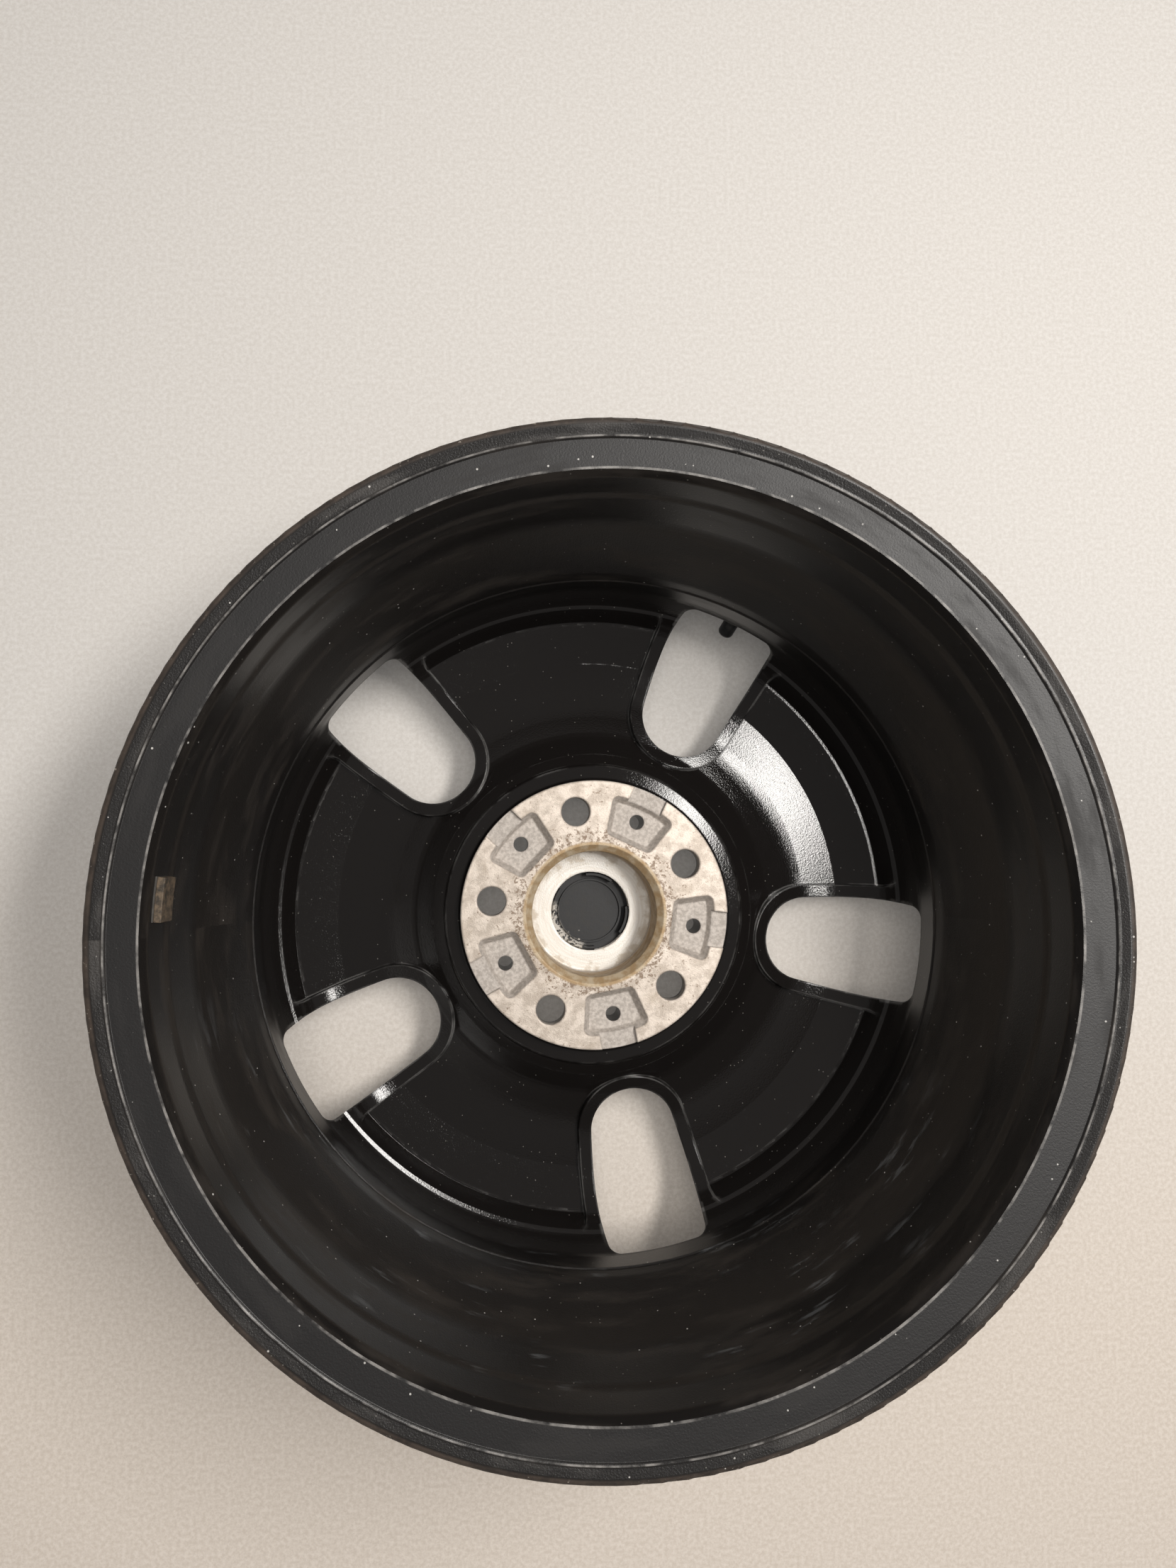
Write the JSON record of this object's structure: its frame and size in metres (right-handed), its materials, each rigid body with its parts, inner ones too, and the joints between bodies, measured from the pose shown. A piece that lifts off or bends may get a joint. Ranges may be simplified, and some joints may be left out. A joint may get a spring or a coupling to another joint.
{
  "type": "car wheel rim",
  "caption": "One-piece cast alloy car wheel rim with windows in its disc, bolt holes, a centre cap, a snap-in tyre valve and a balance weight.",
  "frame": {"origin": "on the wheel's axis in the plane of the street-side flange's lip, which rests on the floor", "axes": "+Z along the wheel's axis towards its brake side; +X and +Y are the picture's right and up"},
  "size_m": [0.4712, 0.471, 0.2028],
  "materials": {
    "black_painted_alloy": "semi-gloss paint",
    "cap_plastic": "matt",
    "valve_rubber": "matt",
    "valve_brass": "machined",
    "dust_cap_plastic": "satin",
    "dirty_weight": "dirty",
    "foam_tape": "matt"
  },
  "bodies": {
    "root": {"wheel_casting": "black_painted_alloy", "centre_cap": "cap_plastic", "valve_body": "valve_rubber", "valve_stem": "valve_brass", "valve_core": "valve_brass", "valve_cap": "dust_cap_plastic", "valve_cap_seal": "valve_rubber", "balance_weight": "dirty_weight", "weight_tape": "foam_tape"}
  },
  "joints": []
}
